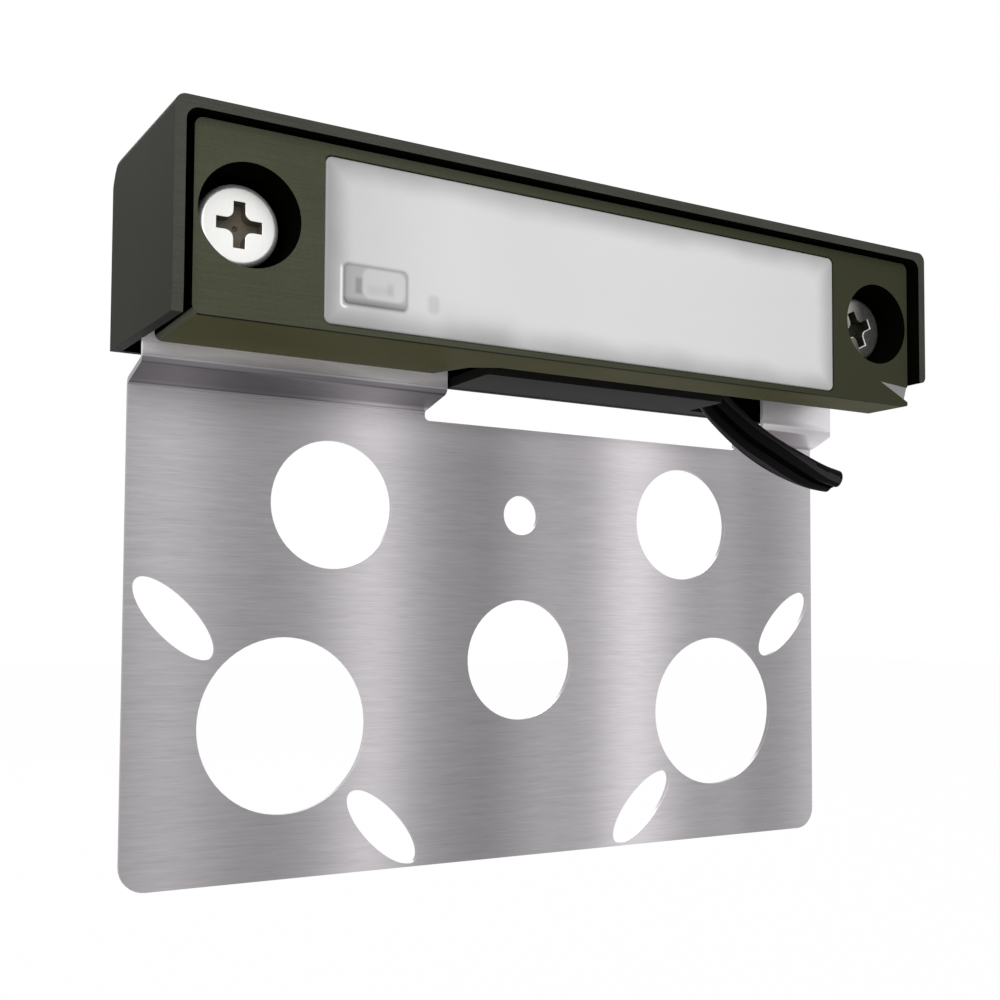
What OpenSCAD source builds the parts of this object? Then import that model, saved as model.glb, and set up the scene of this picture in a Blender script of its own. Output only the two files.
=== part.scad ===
// Hardscape light: a hood with a light module, carried on a folded stainless plate.
// Millimetres. X runs along the light, Y from its lens to its back, Z up the plate.
// The origin is the centre of the nail hole, on the plate's back face.

/* [Hood] */
// Length of the hood
hood_w = 100; // [94:1:130]
// Depth of the hood, from its rim to its back
hood_depth = 25.8; // [25:0.1:30]
// Height of the rim at the front
hood_h = 20.8; // [20.5:0.1:26]
// Thickness of the hood's top and end walls
hood_wall = 1.1; // [0.8:0.1:1.4]
// Thickness of the hood's back wall
hood_back_wall = 1.5; // [1.2:0.1:1.8]
// Radius of the long edge between top and back
hood_crown_r = 5; // [2:0.5:8]
// Radius of the hood's two upper corners
hood_corner_r = 1.1; // [0.6:0.1:3]
// Rise of the top from rim to back
hood_top_rise = 1.4; // [0:0.1:2]
// Height of the cord side's cut-out in the right end wall
hood_relief_h = 3.4; // [1.2:0.2:6]
// Thickness of the tongue
tongue_t = 1.2; // [0.8:0.1:1.6]
// Gap from the left tab to the tongue
tongue_side_gap = 5.1; // [2:0.1:6]
// Gap from the tongue to the right tab, where the cord comes down
tongue_cord_gap = 7.3; // [7:0.1:16]

/* [Module] */
// Gap between the module's ends and the hood
side_gap = 1.1; // [0.4:0.1:1.6]
// Gap between the module's top and the hood
top_gap = 0.4; // [0.2:0.1:0.8]
// Depth of the module behind the hood's rim
rim_proud = 1.1; // [0:0.1:2]
// Depth of the module, from lens to back cover
module_depth = 13.7; // [13.4:0.1:16]
// Distance from a clamp screw to the module's end
screw_inset = 5.6; // [5.5:0.1:7]
// Height of the clamp screws above the module's bottom
screw_rise = 10.3; // [8.5:0.1:11]
// Diameter of the counterbores for the screw heads
counterbore_d = 10.4; // [9:0.1:10.6]
// Depth of the screw heads below the module's face
head_recess = 3.5; // [0.5:0.1:3.8]
// Height of the relief behind the module's front wall
relief_h = 3.1; // [2.6:0.1:3.5]
// Thickness of the module's front wall at the relief
relief_front_t = 6.8; // [6.8:0.1:8]
// Length of the foot over the left tab
foot_w = 32.2; // [24:0.2:36]

/* [Lens] */
// Bare metal between the lens and each end of the module
lens_margin_x = 13.3; // [12.2:0.1:20]
// Bare metal above the lens
lens_margin_top = 1.2; // [0.9:0.1:2]
// Bare metal below the lens
lens_margin_bottom = 0.7; // [0.6:0.1:2]
// Thickness of the lens
lens_t = 2; // [1.6:0.1:2.2]

/* [Plate] */
// Thickness of the sheet
plate_t = 0.6; // [0.5:0.1:1]
// Height of the plate below the nail hole
plate_drop = 42.6; // [42:0.2:55]
// Depth of the hood's end beyond the plate's edge
plate_inset = 1; // [0.5:0.1:2]
// Depth of the step between plate and tabs
joggle = 6; // [5.5:0.1:7]
// Length of the left tab
left_tab_w = 35.4; // [30:0.2:38]
// Length of the right tab
right_tab_w = 12.4; // [11:0.2:13]
// Width by which the right tab's fold widens towards the plate's edge
tab_shoulder = 1.8; // [1:0.1:2.6]
// Height of the slot's bottom edge above the nail hole
slot_rise = 10.9; // [9:0.1:11]
// Radius of the plate's lower corners
plate_corner_r = 2.8; // [1:0.1:5]

/* [Plate cut-outs] */
// Diameter of the nail hole
nail_hole_d = 5; // [4:0.1:6.5]
// Diameter of the two upper keying holes
upper_key_d = 15; // [8:0.5:16]
// Distance of the upper keying holes from the middle
upper_key_x = 25.4; // [22:0.1:27]
// Diameter of the middle keying hole
middle_key_d = 15; // [8:0.5:16]
// Drop of the middle keying hole below the nail hole
middle_key_drop = 18.2; // [16:0.1:20]
// Diameter of the two lower keying holes
lower_key_d = 20; // [10:0.5:21]
// Distance of the lower keying holes from the middle
lower_key_x = 31; // [29:0.1:32]
// Drop of the lower keying holes below the nail hole
lower_key_drop = 25.4; // [25:0.1:27]
// Length of the slanted oval cut-outs
oval_len = 12; // [8:0.2:12.4]
// Width of the slanted oval cut-outs
oval_w = 4.6; // [3:0.1:5]
// Distance of the outer ovals from the middle
outer_oval_x = 43.6; // [43:0.1:44]
// Drop of the outer ovals below the nail hole
outer_oval_drop = 13.4; // [12:0.1:14]
// Distance of the inner ovals from the middle
inner_oval_x = 18.7; // [17:0.1:19]
// Drop of the inner ovals below the nail hole
inner_oval_drop = 37.7; // [37:0.1:38]

/* [Screws] */
// Diameter of the clamp screws' shank
screw_d = 3.9; // [3:0.1:4.1]
// Diameter of the clamp screws' head
screw_head_d = 8.4; // [6:0.1:8.6]
// Height of the clamp screws' head
screw_head_h = 2.6; // [2:0.1:2.8]
// Gap from the clamp screws' tips to the inside of the hood's back
screw_tip_gap = 2; // [1.2:0.1:4]

/* [Electronics] */
// Number of LEDs on the board
led_count = 6; // [2:1:7]
// Distance from one LED to the next
led_pitch = 9; // [6:0.5:9]
// Side of one LED
led_side = 3; // [2:0.1:3.5]
// Thickness of the LED board
board_t = 1; // [0.8:0.1:1]

/* [Cord] */
// Radius of one of the cord's two cores with its jacket
cord_core_r = 1.15; // [1:0.05:1.2]
// Distance from the cord's middle to each core
cord_core_offset = 1.05; // [0.9:0.05:1.1]

/* [Hidden] */
$fn = 64;
// Overrun of a cut past the face that it opens
over = 1;
// Steps in one rounded corner of an outline
corner_steps = 8;

// Heights
hood_bottom_z = 15.1;
hood_back_bottom_z = 16;
hood_top_z = hood_bottom_z + hood_h;
bottom_recess = 0.3;
module_bottom_z = hood_bottom_z + bottom_recess;
module_top_z = hood_top_z - hood_wall - top_gap;
screw_z = module_bottom_z + screw_rise;

// Depths
tab_back_y = -joggle;
tab_front_y = -joggle - plate_t;
module_back_y = tab_front_y;
module_front_y = module_back_y - module_depth;
rim_y = module_front_y - rim_proud;
hood_back_y = rim_y + hood_depth;
hood_inner_back_y = hood_back_y - hood_back_wall;

// Widths
module_w = hood_w - 2 * (hood_wall + side_gap);
screw_x = module_w / 2 - screw_inset;
plate_w = hood_w - 2 * plate_inset;
left_tab_x = [-plate_w / 2, -plate_w / 2 + left_tab_w];
right_tab_x = [plate_w / 2 - tab_shoulder - right_tab_w, plate_w / 2 - tab_shoulder];

// Hood
hood_heel_r = 0.6;
hood_inner_corner_extra = 0.2;
hood_inner_corner_r = hood_corner_r + hood_inner_corner_extra;
hood_top_slope = atan(hood_top_rise / hood_depth);
boss_r = 4.5;
boss_bore_gap = 0.05;
boss_floor = 1;
tongue_x = [left_tab_x[1] + tongue_side_gap, right_tab_x[0] - tongue_cord_gap];
tongue_reach = 0.4;
tongue_corner_r = 0.6;
strip_w = 7;
strip_share = 0.25;
strip_depth = hood_back_wall + strip_share * (hood_inner_back_y - module_back_y);

// Plate
bend_r = 0.3;
fold_rise = 1.3;
fold_gap = 1.3;
tab_head = 4.8;
tab_corner_r = 1.5;
shoulder_r = 0.9;
slot_corner_r = 0.6;
oval_points = 48;
oval_tilt = 45;

// Module
module_corner_r = 0.9;
notch_corner_r = 0.2;
pocket_corner_r = 0.8;
screw_hole_gap = 0.25;
relief_slant = [2.1, 5.2];
relief_nose = [3.1, 1.7];
notch_len = 4.9;
notch_tip_rise = 2.8;
notch_top_rise = 2.5;
notch_bottom_rise = 0.55;
notch_top_depth = 0.2;
notch_depth = 0.7;
notch_lip_rise = 0.8;

// Lens, board and the pockets that hold them
lens_gap = 0.1;
lens_gasket_t = 0.4;
ledge_w = 1.1;
ledge_h = 0.8;
board_gap = 0.2;
pad_t = 0.3;
floor_wall_t = 0.8;
lens_x = module_w / 2 - lens_margin_x;
lens_z = [module_bottom_z + lens_margin_bottom, module_top_z - lens_margin_top];
lens_back_y = module_front_y + lens_t;
ledge_y = lens_back_y + lens_gasket_t;
relief_y = module_front_y + relief_front_t;
pocket_floor_y = relief_y - floor_wall_t;
board_back_y = pocket_floor_y - pad_t;
board_front_y = board_back_y - board_t;
pocket_x = lens_x - ledge_w;
pocket_z = [lens_z[0] + ledge_h, lens_z[1] - ledge_h];

// Back cover and the bay behind the board
cover_t = 1.2;
cover_gasket_t = 0.4;
cover_gap = 0.1;
cover_wall = 0.8;
cover_seat_w = 3.4;
cover_seat_h = 1;
bay_floor_t = 2;
bay_x = pocket_x - board_gap;
cover_x = bay_x + cover_seat_w;
cover_z = [module_bottom_z + relief_h + cover_wall, module_top_z - cover_wall];
bay_z = [cover_z[0] + cover_seat_h, cover_z[1] - cover_seat_h];
cover_front_y = module_back_y - cover_t;
cover_seat_y = cover_front_y - cover_gasket_t;
bay_floor_y = pocket_floor_y + bay_floor_t;
potting_air = 0.4;
cover_screw_r = 0.85;
cover_screw_head_r = 1.5;
cover_screw_len = 4;
cover_screw_gap = 0.05;
cover_screw_x = cover_x - cover_seat_w / 2 + cover_gap;
cover_screw_z = [cover_z[0] + cover_screw_head_r + cover_gap, cover_z[1] - cover_screw_head_r - cover_gap];

// Screws and washers
washer_t = 0.9;
washer_rim = 0.3;
washer_r = screw_head_d / 2 + washer_rim;
washer_gap = 0.2;
head_edge_r = 0.6;
cross_len = 4.7;
cross_w = 1.2;
cross_depth = 1.5;
cross_fillet_r = 0.8;
cross_core_r = 1;
right_screw_turn = 25;
head_y = module_front_y + head_recess;
head_seat_y = head_y + screw_head_h;
washer_back_y = head_seat_y + washer_t;
screw_end_y = hood_inner_back_y - screw_tip_gap;

// Parts on the board: places are the middles, from the board's left lower corner
board_len = 2 * (pocket_x - board_gap);
led_h = 0.7;
led_drop = 6.4;
leg_size = [0.8, 0.3, 0.5];
rectifier_size = [5.5, 2.2, 4.2];
rectifier_place = [4.3, 3.4];
rectifier_legs = 2;
rectifier_leg_pitch = 2.4;
resistor_size = [1.25, 0.5, 2];
resistor_gap = 3.2;
resistor_rise = 2.5;
resistor_shares = [0.43, 0.5];
resistor_x = concat([rectifier_place[0] + (rectifier_size[0] + resistor_size[0]) / 2 + resistor_gap],
    resistor_shares * board_len);
chip_size = [3.9, 1.4, 4.9];
chip_share = 0.61;
chip_rise = 3.2;
chip_legs = 4;
chip_leg_pitch = 1.27;
capacitor_size = [2.5, 1.6, 3.2];
capacitor_shares = [0.71, 0.77];
capacitor_rise = 2.6;
inductor_r = 2.1;
inductor_h = 2.1;
inductor_share = 0.33;
inductor_rise = 3;

// Wires between the board and the cable boot
lead_r = 0.6;
lead_gap = 0.05;
lead_spacing = 2.6;
lead_inset = 21.3;
lead_x = module_w / 2 - lead_inset;
lead_drop = 3.4;
lead_z = cover_z[1] - lead_drop;
solder_r = 1.15;
solder_tip_r = 0.75;
solder_h = 0.5;
lead_stub = 0.4;

// Cable boot and cord
boot_w = 7;
boot_share = 0.88;
boot_depth = boot_share * (hood_inner_back_y - module_back_y);
boot_top_rise = 2.2;
boot_top_z = lead_z + boot_top_rise;
boot_nose_w = 4.6;
boot_nose_depth = 5.2;
boot_nose_h = 2.2;
boot_nose_rise = 11.3;
boot_r = 1;
cord_steps = 6;
cord_spread = 130;
cord_leans = [[0, [0, -1, 0]], [0.7, [0.35, -0.45, 0.8]], [1, [-0.1, -1, 0]]];
cord_exit = [lead_x, (module_back_y + hood_inner_back_y) / 2, hood_bottom_z + boot_nose_rise];
cord_route = [
    [0, 0, 0], [0, 0, -1.4], [0, -0.1, -2.8], [0.1, -0.3, -4.2], [0.5, -0.5, -5.6], [1.1, -0.8, -7.1],
    [2, -1.1, -8.6], [3.1, -1.5, -10.2], [4.4, -2.2, -11.8], [5.7, -3.1, -13.4], [7, -4.1, -14.9],
    [8.6, -5.1, -16.3], [10.3, -5.9, -17.4], [12.1, -6.5, -18.3], [14.1, -6.9, -19.1], [16.1, -7.2, -19.7],
    [18.4, -7.4, -20.1]];

// Geometry helpers

function unit(v) = v / norm(v);

// Points of the arc that rounds corner q between its neighbours p and s
function corner_arc(p, q, s, r) =
    r == 0 ? [q] :
    let (a = unit(p - q), b = unit(s - q), half = acos(a * b) / 2,
        c = q + unit(a + b) * r / sin(half),
        from = q + a * r / tan(half) - c, to = q + b * r / tan(half) - c,
        start = atan2(from[1], from[0]), raw = atan2(to[1], to[0]) - start,
        sweep = raw > 180 ? raw - 360 : raw < -180 ? raw + 360 : raw)
    [for (k = [0 : corner_steps])
        let (angle = start + sweep * k / corner_steps) c + r * [cos(angle), sin(angle)]];

// An outline with each corner rounded by its own radius
function rounded(points, radii) =
    let (n = len(points))
    [for (i = [0 : n - 1])
        each corner_arc(points[(i + n - 1) % n], points[i], points[(i + 1) % n], radii[i])];

// Outline of a box from x[0] to x[1] and z[0] to z[1]
function box_outline(x, z, r) =
    rounded([[x[0], z[0]], [x[1], z[0]], [x[1], z[1]], [x[0], z[1]]], [r, r, r, r]);

// A slab between two depths, from an outline in X and Z
module slab(y, points) {
    translate([0, y[1], 0])
        rotate([90, 0, 0])
            linear_extrude(height = y[1] - y[0])
                polygon(points);
}

// A bar between two lengths, from a profile in Y and Z
module bar(x, points) {
    translate([x[0], 0, 0])
        rotate([90, 0, 90])
            linear_extrude(height = x[1] - x[0])
                polygon(points);
}

// A round bar along Y between two depths
module round_bar(x, z, y, r, r_back = undef) {
    translate([x, y[0], z])
        rotate([-90, 0, 0])
            cylinder(h = y[1] - y[0], r1 = r, r2 = is_undef(r_back) ? r : r_back);
}

module at_clamp_screws() {
    for (side = [-1, 1])
        translate([side * screw_x, 0, screw_z])
            children();
}

module at_cover_screws() {
    for (side = [-1, 1], z = cover_screw_z)
        translate([side * cover_screw_x, 0, z])
            children();
}

// Hood

function hood_top_at(y) = hood_top_z + hood_top_rise * (y - rim_y) / hood_depth;

// Side profile: a rounded back, a small heel and a top that rises from the rim
function hood_profile(inset, front, low, low_back) =
    let (back = hood_back_y - (inset == 0 ? 0 : hood_back_wall))
    rounded(
        [[front, low], [back, low_back], [back, hood_top_at(back) - inset], [front, hood_top_at(front) - inset]],
        [0, inset == 0 ? hood_heel_r : 0, hood_crown_r - inset, 0]);

// A slab whose rounded upper corners follow the slope of the hood's top
module sloped_slab(y, x, high, r) {
    translate([0, rim_y, high])
        rotate([hood_top_slope, 0, 0])
            slab([y[0] - rim_y, y[1] - rim_y], rounded(
                [[-x, -hood_h - over], [x, -hood_h - over], [x, 0], [-x, 0]], [0, 0, r, r]));
}

module hood_shell() {
    x = hood_w / 2;
    inner_x = x - hood_wall;
    reach = [rim_y - over, hood_back_y + over];
    difference() {
        intersection() {
            bar([-x, x], hood_profile(0, rim_y, hood_bottom_z, hood_back_bottom_z));
            sloped_slab(reach, x, hood_top_z, hood_corner_r);
            hood_end_rounding();
        }
        intersection() {
            bar([-x, x], hood_profile(hood_wall, rim_y - over, hood_bottom_z - over, hood_bottom_z - over));
            sloped_slab(reach, inner_x, hood_top_z - hood_wall, hood_inner_corner_r);
        }
        hood_cord_side_relief();
    }
}

// Rounds the hood's two upright back edges
module hood_end_rounding() {
    x = hood_w / 2;
    translate([0, 0, hood_bottom_z - over])
        linear_extrude(height = hood_h + hood_top_rise + 2 * over)
            polygon(rounded(
                [[-x, rim_y], [x, rim_y], [x, hood_back_y], [-x, hood_back_y]],
                [0, 0, hood_heel_r, hood_heel_r]));
}

// The right end wall is cut short below, where the cord leaves
module hood_cord_side_relief() {
    x = hood_w / 2;
    bar([x - hood_wall - over, x + over], [
        [rim_y - over, hood_bottom_z - over], [rim_y - over, hood_bottom_z + hood_relief_h],
        [module_back_y, hood_bottom_z + hood_relief_h], [hood_inner_back_y, hood_back_bottom_z],
        [hood_inner_back_y, hood_bottom_z - over]]);
}

// The tongue lies in the slot between the tabs and locates the hood on the plate
module hood_tongue() {
    y = [tab_front_y - tongue_reach, hood_back_y - hood_heel_r];
    r = tongue_corner_r;
    strip_x = tongue_x[1] + strip_w;
    translate([0, 0, hood_back_bottom_z])
        linear_extrude(height = tongue_t)
            polygon(rounded(
                [[tongue_x[0], y[0]], [tongue_x[1], y[0]], [tongue_x[1], hood_back_y - strip_depth],
                    [strip_x, hood_back_y - strip_depth], [strip_x, y[1]], [tongue_x[0], y[1]]],
                [r, r, r, 0, 0, 0]));
}

module hood_bosses() {
    at_clamp_screws()
        round_bar(0, 0, [tab_back_y, hood_inner_back_y + hood_back_wall / 2], boss_r);
}

module housing() {
    color("#2f2d29")
        difference() {
            union() {
                hood_shell();
                hood_tongue();
                hood_bosses();
            }
            at_clamp_screws()
                round_bar(0, 0, [tab_back_y - over, screw_end_y + boss_floor], screw_d / 2 + boss_bore_gap);
        }
}

// Plate

// Profile of a tab: up from the sheet, forward over the step and up again
function tab_profile() =
    let (half = plate_t / 2,
        low = [-half, slot_rise + fold_gap],
        high = [-joggle - half, slot_rise + fold_gap + fold_rise],
        along = unit(high - low), n0 = [-1, 0], n1 = [-along[1], along[0]],
        miter = (n0 + n1) / (1 + n0 * n1) * half,
        start = [-half, slot_rise - slot_corner_r], end = [-joggle - half, screw_z + tab_head])
    rounded(
        [start + n0 * half, low + miter, high + miter, end + n0 * half,
            end - n0 * half, high - miter, low - miter, start - n0 * half],
        [0, bend_r, bend_r + plate_t, 0, 0, bend_r, bend_r + plate_t, 0]);

function oval_outline() =
    [for (k = [0 : oval_points - 1])
        let (a = 360 * k / oval_points) [oval_len / 2 * cos(a), oval_w / 2 * sin(a)]];

module oval(x, drop) {
    for (side = [-1, 1])
        translate([side * x, 0, -drop])
            rotate([0, -side * oval_tilt, 0])
                slab([-plate_t - over, over], oval_outline());
}

module key_hole(x, drop, d) {
    round_bar(x, -drop, [-plate_t - over, over], d / 2);
}

module plate_sheet() {
    x = plate_w / 2;
    slab([-plate_t, 0], rounded(
        [[-x, -plate_drop], [x, -plate_drop], [x, slot_rise], [-x, slot_rise]],
        [plate_corner_r, plate_corner_r, 0, 0]));
}

// A tab, trimmed to rounded top corners; its right edge may widen over the fold by a shoulder
module tab(x, shoulder) {
    foot = slot_rise + fold_gap;
    r = shoulder == 0 ? 0 : shoulder_r;
    intersection() {
        bar([x[0], x[1] + shoulder], tab_profile());
        slab([tab_front_y - over, over], rounded(
            [[x[0], -plate_drop], [x[1] + shoulder, -plate_drop], [x[1] + shoulder, foot],
                [x[1], foot + fold_rise], [x[1], screw_z + tab_head], [x[0], screw_z + tab_head]],
            [0, 0, r, r, tab_corner_r, tab_corner_r]));
    }
}

// A small gusset of sheet that rounds the slot's lower corner beside a tab
module slot_corner(x, side) {
    r = slot_corner_r;
    difference() {
        slab([-plate_t, 0], [[x, slot_rise - r], [x + side * r, slot_rise - r],
            [x + side * r, slot_rise + r], [x, slot_rise + r]]);
        round_bar(x + side * r, slot_rise + r, [-plate_t - over, over], r);
    }
}

module mounting_plate() {
    color("#b9bbbe")
        difference() {
            union() {
                plate_sheet();
                tab(left_tab_x, 0);
                tab(right_tab_x, tab_shoulder);
                slot_corner(left_tab_x[1], 1);
                slot_corner(right_tab_x[0], -1);
            }
            key_hole(0, 0, nail_hole_d);
            key_hole(0, middle_key_drop, middle_key_d);
            for (side = [-1, 1]) {
                key_hole(side * upper_key_x, 0, upper_key_d);
                key_hole(side * lower_key_x, lower_key_drop, lower_key_d);
            }
            oval(outer_oval_x, outer_oval_drop);
            oval(inner_oval_x, inner_oval_drop);
            at_clamp_screws()
                round_bar(0, 0, [tab_front_y - over, tab_back_y + over], screw_d / 2 + screw_hole_gap);
        }
}

// Light module

// The relief leaves a foot over the left tab and makes room for the right tab and the cord
module module_relief() {
    foot_x = -module_w / 2 + foot_w;
    far = module_w / 2 + over;
    translate([0, 0, module_bottom_z - over])
        linear_extrude(height = relief_h + over)
            polygon([
                [foot_x, module_back_y + over], [foot_x, module_back_y],
                [foot_x + relief_slant[0], module_back_y - relief_slant[1]],
                [foot_x + relief_slant[0] + relief_nose[0], relief_y],
                [far, relief_y], [far, module_back_y + over]]);
}

// A notch at the lower right corner, for prising the module out: its floor falls from a point on
// the face to the module's end, where it is deepest below
module pry_notch() {
    k = (notch_len + over) / notch_len;
    x = module_w / 2 + over;
    tip = [module_w / 2 - notch_len, module_bottom_z + notch_tip_rise];
    high = tip[1] + k * (notch_top_rise - notch_tip_rise);
    low = tip[1] + k * (notch_bottom_rise - notch_tip_rise);
    deep = tip[1] + k * (notch_lip_rise - notch_tip_rise);
    polyhedron(
        points = [
            [tip[0], module_front_y - over, tip[1]], [x, module_front_y - over, high],
            [x, module_front_y - over, low], [tip[0], module_front_y, tip[1]],
            [x, module_front_y + k * notch_top_depth, high], [x, module_front_y + k * notch_depth, deep],
            [x, module_front_y, low]],
        faces = [[0, 1, 2], [0, 3, 4, 1], [3, 5, 4], [3, 6, 5], [0, 2, 6, 3], [1, 4, 5, 6, 2]]);
}

module module_pockets() {
    r = pocket_corner_r;
    lens_hole_x = lens_x + lens_gap;
    slab([module_front_y - over, ledge_y],
        box_outline([-lens_hole_x, lens_hole_x], [lens_z[0] - lens_gap, lens_z[1] + lens_gap], r));
    slab([ledge_y - over, pocket_floor_y], box_outline([-pocket_x, pocket_x], pocket_z, r));
    slab([cover_seat_y, module_back_y + over], box_outline([-cover_x, cover_x], cover_z, r));
    slab([bay_floor_y, cover_seat_y + over], box_outline([-bay_x, bay_x], bay_z, r));
}

module lead_holes(r, y) {
    for (side = [-1, 1])
        round_bar(lead_x + side * lead_spacing / 2, lead_z, y, r);
}

module module_body() {
    x = module_w / 2;
    color("#4a483b")
        difference() {
            slab([module_front_y, module_back_y], rounded(
                [[-x, module_bottom_z], [x, module_bottom_z], [x, module_top_z], [-x, module_top_z]],
                [module_corner_r, notch_corner_r, module_corner_r, module_corner_r]));
            module_pockets();
            module_relief();
            pry_notch();
            at_clamp_screws() {
                round_bar(0, 0, [module_front_y - over, washer_back_y], counterbore_d / 2);
                round_bar(0, 0, [washer_back_y - over, module_back_y + over], screw_d / 2 + screw_hole_gap);
            }
            at_cover_screws()
                round_bar(0, 0, [module_back_y - cover_screw_len - cover_t, module_back_y],
                    cover_screw_r + cover_screw_gap);
            lead_holes(lead_r + lead_gap, [pocket_floor_y - over, bay_floor_y + over]);
        }
}

module lens() {
    color("#e9e9e6")
        slab([module_front_y, lens_back_y], box_outline([-lens_x, lens_x], lens_z, pocket_corner_r));
}

module lens_gasket() {
    color("#dcdcd8")
        difference() {
            slab([lens_back_y, ledge_y], box_outline([-lens_x, lens_x], lens_z, pocket_corner_r));
            slab([lens_back_y - over, ledge_y + over],
                box_outline([-pocket_x, pocket_x], pocket_z, pocket_corner_r));
        }
}

// Electronics

function board_outline() = box_outline([-pocket_x + board_gap, pocket_x - board_gap],
    [pocket_z[0] + board_gap, pocket_z[1] - board_gap], pocket_corner_r);

module led_board() {
    color("#eeeeea")
        difference() {
            slab([board_front_y, board_back_y], board_outline());
            lead_holes(lead_r + lead_gap, [board_front_y - over, board_back_y + over]);
        }
}

module thermal_pad() {
    color("#9fb4c4")
        difference() {
            slab([board_back_y, pocket_floor_y], board_outline());
            lead_holes(lead_r + lead_gap, [board_back_y - over, pocket_floor_y + over]);
        }
}

// Stands a box on the board's front face, with its middle at the place
module on_board(place, size) {
    translate([place[0] - board_len / 2 - size[0] / 2, board_front_y - size[1],
            pocket_z[0] + board_gap + place[1] - size[2] / 2])
        cube(size);
}

// A package with a row of legs on its left and on its right
module legged_package(place, size, legs, pitch) {
    on_board(place, size);
    for (side = [-1, 1], k = [0 : legs - 1])
        on_board(place + [side * (size[0] + leg_size[0]) / 2, (k - (legs - 1) / 2) * pitch], leg_size);
}

module leds() {
    color("#e8d36a")
        for (k = [0 : led_count - 1])
            translate([(k - (led_count - 1) / 2) * led_pitch - led_side / 2, board_front_y - led_h,
                    pocket_z[1] - led_drop - led_side / 2])
                cube([led_side, led_h, led_side]);
}

module bridge_rectifier() {
    color("#33343a") legged_package(rectifier_place, rectifier_size, rectifier_legs, rectifier_leg_pitch);
}

module driver_chip() {
    place = [chip_share * board_len, chip_rise];
    color("#2b2b2e") legged_package(place, chip_size, chip_legs, chip_leg_pitch);
}

module sense_resistors() {
    color("#3a3a3e")
        for (x = resistor_x)
            on_board([x, resistor_rise], resistor_size);
}

module capacitors() {
    color("#a08a66")
        for (share = capacitor_shares)
            on_board([share * board_len, capacitor_rise], capacitor_size);
}

module inductor() {
    color("#4a4a4e")
        round_bar((inductor_share - 1 / 2) * board_len, pocket_z[0] + board_gap + inductor_rise,
            [board_front_y - inductor_h, board_front_y], inductor_r);
}

module lead_wire(side) {
    round_bar(lead_x + side * lead_spacing / 2, lead_z, [board_front_y - lead_stub, module_back_y], lead_r);
}

module lead_positive() {
    color("#b03030") lead_wire(1);
}

module lead_negative() {
    color("#202020") lead_wire(-1);
}

module solder_joints() {
    color("#c9cbcd")
        difference() {
            for (side = [-1, 1])
                round_bar(lead_x + side * lead_spacing / 2, lead_z,
                    [board_front_y - solder_h, board_front_y], solder_tip_r, solder_r);
            lead_holes(lead_r + lead_gap, [board_front_y - solder_h - over, board_front_y + over]);
        }
}

module potting() {
    color("#1c1c1e")
        difference() {
            slab([bay_floor_y, cover_seat_y - potting_air],
                box_outline([-bay_x, bay_x], bay_z, pocket_corner_r));
            lead_holes(lead_r + lead_gap, [bay_floor_y - over, cover_seat_y]);
        }
}

// Back of the module

module cover_gasket() {
    x = cover_x - cover_gap;
    color("#5a5a5c")
        difference() {
            slab([cover_seat_y, cover_front_y],
                box_outline([-x, x], [cover_z[0] + cover_gap, cover_z[1] - cover_gap], pocket_corner_r));
            slab([cover_seat_y - over, cover_front_y + over],
                box_outline([-bay_x, bay_x], bay_z, pocket_corner_r));
            at_cover_screws()
                round_bar(0, 0, [cover_seat_y - over, cover_front_y + over], cover_screw_r + cover_screw_gap);
        }
}

module back_cover() {
    x = cover_x - cover_gap;
    sink = cover_screw_head_r - cover_screw_r;
    color("#3c3b34")
        difference() {
            slab([cover_front_y, module_back_y],
                box_outline([-x, x], [cover_z[0] + cover_gap, cover_z[1] - cover_gap], pocket_corner_r));
            at_cover_screws() {
                round_bar(0, 0, [cover_front_y - over, module_back_y], cover_screw_r + cover_screw_gap);
                round_bar(0, 0, [module_back_y - sink, module_back_y],
                    cover_screw_r + cover_screw_gap, cover_screw_head_r + cover_screw_gap);
            }
            lead_holes(lead_r + lead_gap, [cover_front_y - over, module_back_y + over]);
        }
}

module back_cover_screws() {
    sink = cover_screw_head_r - cover_screw_r;
    color("#c4c6c8")
        at_cover_screws() {
            round_bar(0, 0, [module_back_y - cover_screw_len, module_back_y - sink], cover_screw_r);
            round_bar(0, 0, [module_back_y - sink, module_back_y], cover_screw_r, cover_screw_head_r);
        }
}

// Cable boot: a block on the cover whose nose narrows towards the cord
module cable_boot() {
    block = [[-boot_w / 2, 0], [boot_w / 2, 0], [boot_w / 2, boot_depth], [-boot_w / 2, boot_depth]];
    mid_y = cord_exit[1] - module_back_y;
    nose_y = [mid_y - boot_nose_depth / 2, mid_y + boot_nose_depth / 2];
    nose = [[-boot_nose_w / 2, nose_y[0]], [boot_nose_w / 2, nose_y[0]],
        [boot_nose_w / 2, nose_y[1]], [-boot_nose_w / 2, nose_y[1]]];
    color("#222223")
        translate([cord_exit[0], module_back_y, cord_exit[2]])
            hull() {
                translate([0, 0, boot_nose_h])
                    linear_extrude(height = boot_top_z - cord_exit[2] - boot_nose_h)
                        polygon(rounded(block, [0, 0, boot_r, boot_r]));
                linear_extrude(height = boot_nose_h / 2)
                    polygon(rounded(nose, [boot_r, boot_r, boot_r, boot_r]));
            }
}

// Twin cord: two joined cores swept along the route

function cord_section() =
    [for (side = [1, -1], k = [0 : cord_steps - 1])
        let (a = -cord_spread + 2 * cord_spread * k / (cord_steps - 1))
        [side * (cord_core_offset + cord_core_r * cos(a)), side * cord_core_r * sin(a)]];

function cord_tangent(i) =
    unit(cord_route[min(i + 1, len(cord_route) - 1)] - cord_route[max(i - 1, 0)]);

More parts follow.
